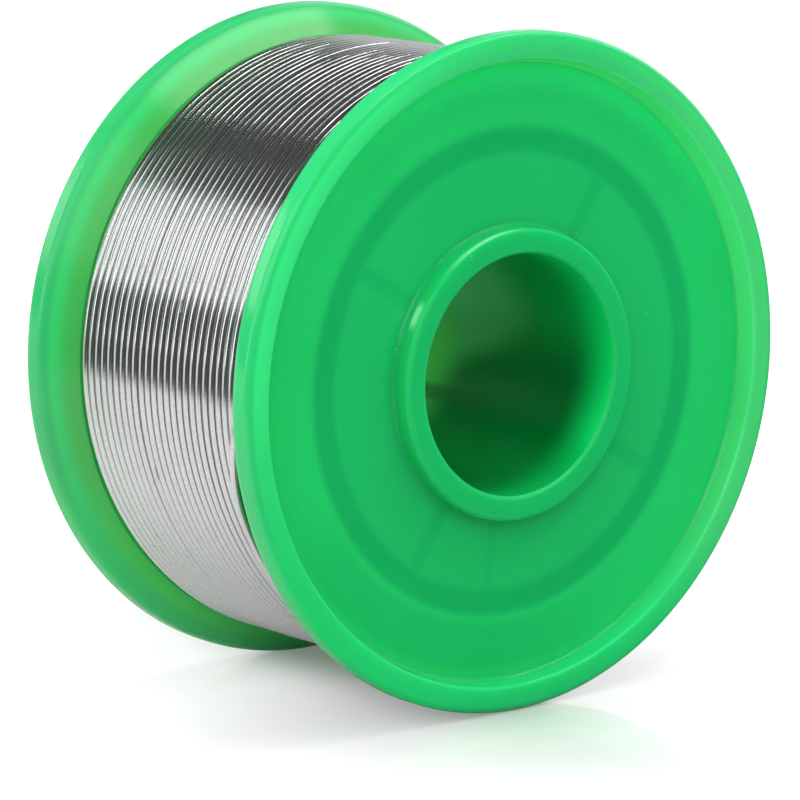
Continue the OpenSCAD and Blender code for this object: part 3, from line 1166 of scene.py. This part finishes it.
@dataclass
class SolderWinding:
    """The wire on the drum: its outer layer, and the layers under it."""

    wire_d: float = 0.8
    pitch: float = 0.846
    outer_r: float = 25.15
    web_in: float = 10.7
    drum_r: float = 19.8
    turns: float = 24.3
    step_from: float = 88.0
    step_to: float = 168.0
    steady_share: float = 0.12
    leave_angle: float = 84.0
    climb: float = 34.0
    end_angle: float = 301.2
    rise: float = 34.0
    rings: int = 140
    sides: int = 28
    bed: float = 0.02
    waver: Point = (0.018, 0.012)
    wave_count: int = 32
    low_turn: int = 9
    low_waves: tuple[Point, Point] = ((1.6, 0.3), (-2.6, 0.0))
    seed: int = 11
    under_from: float = -60.0
    under_rings: int = 72
    under_sides: int = 10
    under_gap: float = 0.01
    under_clear: float = 0.05
    sleeve_sunk: float = 0.15
    sleeve_gap: float = 0.1
    sleeve_clear: float = 0.05
    sleeve_step: float = 0.4
    sleeve_segments: int = 160
    # The layers under the outer one get a darker copy of the solder: painted shade.
    shaded_under_finish: SolderMetal = SolderMetal("solder_under_shaded", (0.34, 0.34, 0.34), (0.24, 0.24, 0.24), rough=0.2)

    @property
    def centre_r(self) -> float:
        """Radius of the outer layer's centre line."""
        return self.outer_r - self.wire_d / 2.0

    @property
    def layer_step(self) -> float:
        """Height of one layer over the layer it lies in the grooves of."""
        return math.sqrt(self.wire_d**2 - (self.pitch / 2.0) ** 2)

    @property
    def last_y(self) -> float:
        """Y of the centre line where it touches the front flange."""
        return -(self.web_in - self.bed - self.wire_d / 2.0)

    def stepped(self, angle: float) -> float:
        """How many steps along the axis the wire has made.

        Args:
            angle: Angle wound so far, in degrees from straight up.

        Returns:
            Whole turns, with most of each step in its zone.
        """
        whole = math.floor(angle / 360.0)
        part = angle - 360.0 * whole
        zone = smooth_step(self.step_from, self.step_to, part)
        return whole + self.steady_share * part / 360.0 + (1.0 - self.steady_share) * zone

    def outer_point(self, angle: float) -> tuple[float, float]:
        """Find a point of the outer layer's centre line.

        Args:
            angle: Angle wound, in degrees, which is leave_angle where it meets the front flange.

        Returns:
            Its radius and y, in millimetres.
        """
        y = self.last_y - self.pitch * (self.stepped(angle) - self.stepped(self.leave_angle))
        if angle <= self.leave_angle:
            return self.centre_r, y
        t = smooth_step(0.0, self.climb, angle - self.leave_angle)
        tilt = math.radians(t * (90.0 + math.degrees(math.asin(self.pitch / 2.0 / self.wire_d))))
        apart = self.pitch + (self.wire_d - self.pitch) * t
        return self.centre_r + apart * math.sin(tilt), y + self.pitch - apart * math.cos(tilt)

    def build(self) -> list[bpy.types.Object]:
        """Build the outer layer and the layers under it."""
        return [self.outer_layer(), self.under_layers()]

    def outer_layer(self) -> bpy.types.Object:
        """Build the outer layer as one unbroken wire.

        Returns:
            The finished piece.
        """
        chance = random.Random(self.seed)
        first = self.leave_angle - 360.0 * self.turns
        count = math.ceil((self.end_angle - first) / 360.0 * self.rings)
        wave = [(chance.uniform(-1, 1), chance.uniform(-1, 1)) for _ in range(self.wave_count)]
        wave[self.low_turn - 1 : self.low_turn + 1] = self.low_waves
        centres, turns = [], []
        for i in range(count + 1):
            angle = first + (self.end_angle - first) * i / count
            radius, y = self.outer_point(angle)
            turn = (angle - first) / 360.0
            low, high = wave[int(turn)], wave[int(turn) + 1]
            share = smooth_step(0.0, 1.0, turn - int(turn))
            lift, shift = (size * (a + (b - a) * share) for size, a, b in zip(self.waver, low, high))
            sunk = self.layer_step * (1.0 - smooth_step(0.0, self.rise, angle - first))
            centres.append(outward(angle) * (radius + lift - sunk - self.bed) + along_axis(y + shift))
            turns.append(math.floor(turn) + 0.001 * turn)
        strand = Strand("outer_wire_layer_turns", centres, self.wire_d / 2.0, self.sides, turns)
        return settle(strand.mesh_object(), [SolderMetal()], "outer_wire_layer")

    def under_layers(self) -> bpy.types.Object:
        """Build the next layer down as wire, on a sleeve that stands for the deeper ones.

        Returns:
            The finished piece.
        """
        radius = self.centre_r - self.layer_step - self.bed
        turns = math.floor((2.0 * (self.web_in - self.under_clear) - self.wire_d) / self.pitch)
        centres, numbers = [], []
        for i in range(turns * self.under_rings + 1):
            angle = self.under_from - 360.0 * i / self.under_rings
            y = -self.pitch * turns / 2.0 + self.pitch * i / self.under_rings
            centres.append(outward(angle) * radius + along_axis(y))
            numbers.append(float(i // self.under_rings))
        wire_r = self.wire_d / 2.0 - self.under_gap
        piece = Strand("inner_wire_layers_turns", centres, wire_r, self.under_sides, numbers).mesh_object()
        inner, outer = self.drum_r + self.sleeve_clear, radius - self.sleeve_sunk
        half = self.web_in - self.sleeve_gap
        outline = trace((inner, -half), (outer, -half), self.sleeve_step, (outer, half), (inner, half))
        combine_shells(piece, make_object("sleeve", *revolve(outline, self.sleeve_segments)))
        return settle(piece, [self.shaded_under_finish], "inner_wire_layers")


@dataclass
class CutWire:
    """A length of flux-cored wire with its cut ends, and the flux that shows in them."""

    name: str
    path: Callable[[float], Vector]
    wire_d: float = 0.8
    flux_d: float = 0.28
    flux_gap: float = 0.01
    steps: int = 40
    sides: int = 20
    flux_sides: int = 12

    def build(self) -> list[bpy.types.Object]:
        """Build the hollow wire and its core.

        Returns:
            The wire and the flux core.
        """
        centres = [self.path(i / self.steps) for i in range(self.steps + 1)]
        core_r = self.flux_d / 2.0
        wire = HollowStrand(self.name + "_wire", centres, self.wire_d / 2.0, self.sides, core_r=core_r)
        piece = settle(wire.mesh_object(), [SolderMetal("solder_" + self.name)], self.name)
        core = Strand(self.name + "_flux", centres, core_r - self.flux_gap, self.flux_sides)
        return [piece, settle(core.mesh_object(), [RosinFinish()], "flux_core")]


@dataclass
class WireStart:
    """The wire's inner end, run in through the slot in the drum."""

    inner_r: float = 12.5
    outer_r: float = 19.83
    y: float = -10.2

    def build(self) -> list[bpy.types.Object]:
        """Build the inner end and its flux."""
        return CutWire("wire_start", self.point).build()

    def point(self, share: float) -> Vector:
        """A point of the centre line, at a share of the way out."""
        radius = self.inner_r + (self.outer_r - self.inner_r) * share
        return outward(START_ANGLE) * radius + along_axis(self.y)


@dataclass
class WireFreeEnd:
    """The wire's loose outer end, which springs up slightly from the groove it lies in."""

    winding: SolderWinding
    length: float = 24.0
    spring: float = 0.17

    def build(self) -> list[bpy.types.Object]:
        """Build the loose end and its flux."""
        return CutWire("wire_free_end", self.point).build()

    def point(self, share: float) -> Vector:
        """Find a point of the centre line.

        Args:
            share: Share of the way to the cut end.

        Returns:
            The point.
        """
        angle = self.winding.end_angle + self.length * share
        radius, y = self.winding.outer_point(angle)
        return outward(angle) * (radius - self.winding.bed + self.spring * share**2) + along_axis(y)


@dataclass(frozen=True)
class Panel:
    """A bright part of the room, seen in reflections: its span in degrees and how bright it looks.

    Azimuths run from straight behind the spool towards +X.
    """

    azimuth: Span
    elevation: Span
    level: float
    soft: float = 5.0


@dataclass(frozen=True)
class Softbox:
    """A rectangular light that faces the spool's axis at aim_y.

    Its place and size are in metres, its radiance is 1 for white, and its turn is in its
    own plane, in degrees.
    """

    name: str
    place: Triple
    size: Point
    radiance: float
    turn: float = 0.0
    aim_y: float = 0.0
    reflected: bool = False

    def build(self) -> bpy.types.Object:
        """Add the light.

        Returns:
            The light.
        """
        lamp = bpy.data.lights.new(self.name, "AREA")
        lamp.shape = "RECTANGLE"
        lamp.size, lamp.size_y = self.size
        lamp.energy = self.radiance * math.pi * self.size[0] * self.size[1]
        light = in_scene(self.name, lamp)
        place = Vector(self.place)
        back = (place - along_axis(self.aim_y)).normalized()
        across = Vector((0.0, 0.0, 1.0)).cross(back).normalized()
        facing = Matrix((across, back.cross(across), back)).transposed().to_4x4()
        turned = Matrix.Rotation(math.radians(self.turn), 4, "Z")
        light.matrix_world = Matrix.Translation(place) @ facing @ turned
        light.visible_camera = False
        light.visible_glossy = self.reflected
        return light


@dataclass(frozen=True)
class TableTop(Finish):
    """Glossy white table, lit up away from the spool, with a painted green reflection next to it, whose far
    part is dim in reflections.
    """

    name: str = "white_table"
    grey: Rgb = (0.42, 0.42, 0.42)
    # tinted is a painted green reflection of the flanges in the table's glow close to the spool.
    tinted: Rgb = (0.88, 1.0, 0.90)
    dim: float = 0.07
    spool_half: float = 0.01485

    def shader(self, g: NodeGraph) -> Value:
        """Build the table's shader.

        Args:
            g: The material's graph.

        Returns:
            The shader.
        """
        point = g.place()
        x, y, _ = point.split()
        past = (abs(y) - self.spool_half).most(0.0)
        near = (x * x + past * past).math("SQRT")
        rough = point.noise(40.0, 3.0) * 0.03 + 0.05
        polished = g.get("BsdfPrincipled", {"Base Color": self.grey, "Roughness": rough, "IOR": 1.6})
        matt = g.get("BsdfDiffuse", {"Color": self.grey})
        table = near.rise(0.0, 0.032).blend(polished, matt)
        # Painted green reflection of the flanges, in the glow close to the spool.
        tone = near.rise(0.008, 0.001).tint(WHITE, self.tinted)
        level = self.lift(x, y, near) * g.ray("Camera").most(0.3)
        glow = g.get("Emission", {"Color": tone, "Strength": level})
        bright = g.get("AddShader", {0: table, 1: glow})
        seen = g.ray("Camera").most(g.ray("Glossy")).blend(table, bright)
        dark = g.get("Emission", {"Color": WHITE, "Strength": self.dim})
        return (g.ray("Glossy") * self.lit(x, y).rest()).blend(seen, dark)

    def lift(self, x: Value, y: Value, near: Value) -> Value:
        """How much painted light, a glow of the table's own, lifts it towards white, which is least in the
        spool's shadow.

        Args:
            x: Place along X, in metres.
            y: Place along Y, in metres.
            near: Distance from the line on which the spool stands, in metres.

        Returns:
            The level.
        """
        # Painted light: the glow grows away from the spool and is raised to the left behind it, to its right
        # and just in front of it, which pales the spool's shadow there.
        open_floor = near.rise(0.0, 0.012) * 0.25 + 0.17 + near.rise(0.012, 0.036) * 0.20
        beside = x.rise(-0.001, -0.009) * y.rise(-0.010, 0.006)
        right = x.rise(-0.004, 0.006) * near.rise(0.0, 0.004)
        front = y.rise(-0.010, -0.016) * near.rise(0.010, 0.003)
        return open_floor + (beside * 0.17 + right * 0.14 + front * 0.07)

    def lit(self, x: Value, y: Value) -> Value:
        """Where the table is bright in reflections: near the spool, except ahead of it, and far behind.

        Args:
            x: Place along X, in metres.
            y: Place along Y, in metres.

        Returns:
            1 where it is bright, 0 where it is dark.
        """
        away = (x * x + y * y).math("SQRT")
        around = away.rise(0.205, 0.135) * (x * 0.6 - y * 0.8).rise(0.009, -0.011)
        sector = x.math("ARCTAN2", y).math("DEGREES").band(-65.0, 80.0, 10.0)
        return around.most(sector * away.rise(0.135, 0.205))


@dataclass
class Studio:
    """A bright table with softboxes over it and beside it."""

    floor_z: float = -27.5
    floor_half: float = 3000.0
    cool: Rgb = (0.97, 0.985, 1.0)
    fill: float = 0.80
    dim: float = 0.07
    softboxes: tuple[Softbox, ...] = (
        Softbox("top_softbox", (0.20, 0.00, 0.62), (0.56, 0.54), 1.6),
        Softbox("front_softbox", (-0.35, -0.62, 0.50), (0.50, 0.50), 1.0),
        Softbox("left_softbox", (-0.50, 0.02, 0.44), (1.9, 0.47), 1.25, aim_y=0.02),
        Softbox("left_tube", (-0.49, 0.78, 0.43), (0.15, 0.18), 17.0),
        Softbox("top_tube", (0.18, -0.262, 0.59), (0.645, 0.045), 7.0, -13.0, reflected=True),
    )
    panels: tuple[Panel, ...] = (
        Panel((-154.0, -70.0), (16.0, 48.0), 1.08),
        Panel((-77.5, -52.0), (-10.0, 19.5), 1.5),
        Panel((-41.0, -17.0), (11.5, 30.0), 2.1),
        Panel((38.0, 106.5), (-10.0, 53.0), 0.50, 10.0),
        Panel((28.0, 52.0), (-10.0, 14.0), 0.28),
        Panel((80.0, 155.0), (53.0, 100.0), 0.16, 10.0),
        Panel((-16.0, 2.0), (33.0, 46.0), 0.11, 8.0),
    )

    def build(self) -> None:
        """Build the surroundings, the floor and the lights."""
        self.world()
        self.floor()
        for softbox in self.softboxes:
            softbox.build()

    def world(self) -> None:
        """Make the surroundings: white behind the object, dim elsewhere for what shines."""
        world = bpy.data.worlds.new("studio")
        bpy.context.scene.world = world
        g = NodeGraph(world)
        dim = g.get("Background", {"Color": self.cool, "Strength": self.room(g)})
        fill = g.get("Background", {"Color": WHITE, "Strength": self.fill})
        white = g.get("Background", {"Color": WHITE, "Strength": 1.0})
        clear = g.ray("Camera").most(g.ray("Transmission"))
        g.add("OutputWorld", {"Surface": clear.blend(g.ray("Diffuse").blend(dim, fill), white)})

    def room(self, g: NodeGraph) -> Value:
        """How bright the room looks in reflections, by direction.

        Args:
            g: The world's graph.

        Returns:
            The level.
        """
        x, y, z = g.get("TexCoord", output="Generated").split()
        azimuth, elevation = x.math("ARCTAN2", y).math("DEGREES"), z.math("ARCSINE").math("DEGREES")
        lit = [
            azimuth.band(*p.azimuth, p.soft) * elevation.band(*p.elevation, p.soft) * p.level
            for p in self.panels
        ]
        return reduce(add, lit[1:], lit[0] + self.dim)

    def floor(self) -> None:
        """Make the table top."""
        half, z = self.floor_half, self.floor_z
        corners = [(-half, -half, z), (half, -half, z), (half, half, z), (-half, half, z)]
        table_top = make_object("table_top", corners, [[0, 1, 2, 3]])
        table_top.data.materials.append(TableTop(dim=self.dim).material())


@dataclass
class ProductCamera:
    """The camera, set off the front flange's centre by shares of the flange's radius."""

    flange_r: float = 27.5
    azimuth: float = -39.05
    elevation: float = 10.65
    target_y: float = -13.57
    right: float = -0.324
    up: float = -0.078
    back: float = 14.238
    lens: float = 220.48
    sensor: float = 36.0
    clip: Span = (0.01, 10.0)

    def build(self) -> bpy.types.Object:
        """Make the camera and let the scene use it.

        Returns:
            The camera.
        """
        a, e = math.radians(self.azimuth), math.radians(self.elevation)
        right = Vector((math.cos(a), math.sin(a), 0.0))
        up = Vector((-math.sin(a) * math.sin(e), math.cos(a) * math.sin(e), math.cos(e)))
        back = Vector((math.sin(a) * math.cos(e), -math.cos(a) * math.cos(e), math.sin(e)))
        offset = (right * self.right + up * self.up + back * self.back) * self.flange_r
        place = along_axis(self.target_y) + offset
        data = bpy.data.cameras.new("product_camera")
        data.lens = self.lens
        data.sensor_width = self.sensor
        data.clip_start, data.clip_end = self.clip
        camera = in_scene("product_camera", data)
        camera.matrix_world = Matrix.Translation(place * MM) @ Matrix((right, up, back)).transposed().to_4x4()
        bpy.context.scene.camera = camera
        return camera


def main() -> None:
    """Build the spool piece by piece, then the studio and the camera."""
    logging.basicConfig(level=logging.INFO, format="%(message)s")
    bpy.context.scene.view_settings.view_transform = "Standard"
    winding = SolderWinding()
    pieces = [FrontFlangeAndHub().build(), RearFlange().build()]
    pieces += winding.build()
    pieces += WireStart().build()
    pieces += WireFreeEnd(winding).build()
    for piece in pieces:
        LOG.info("%s: %d faces", piece.name, len(piece.data.polygons))
    Studio().build()
    ProductCamera().build()


if __name__ == "__main__":
    main()
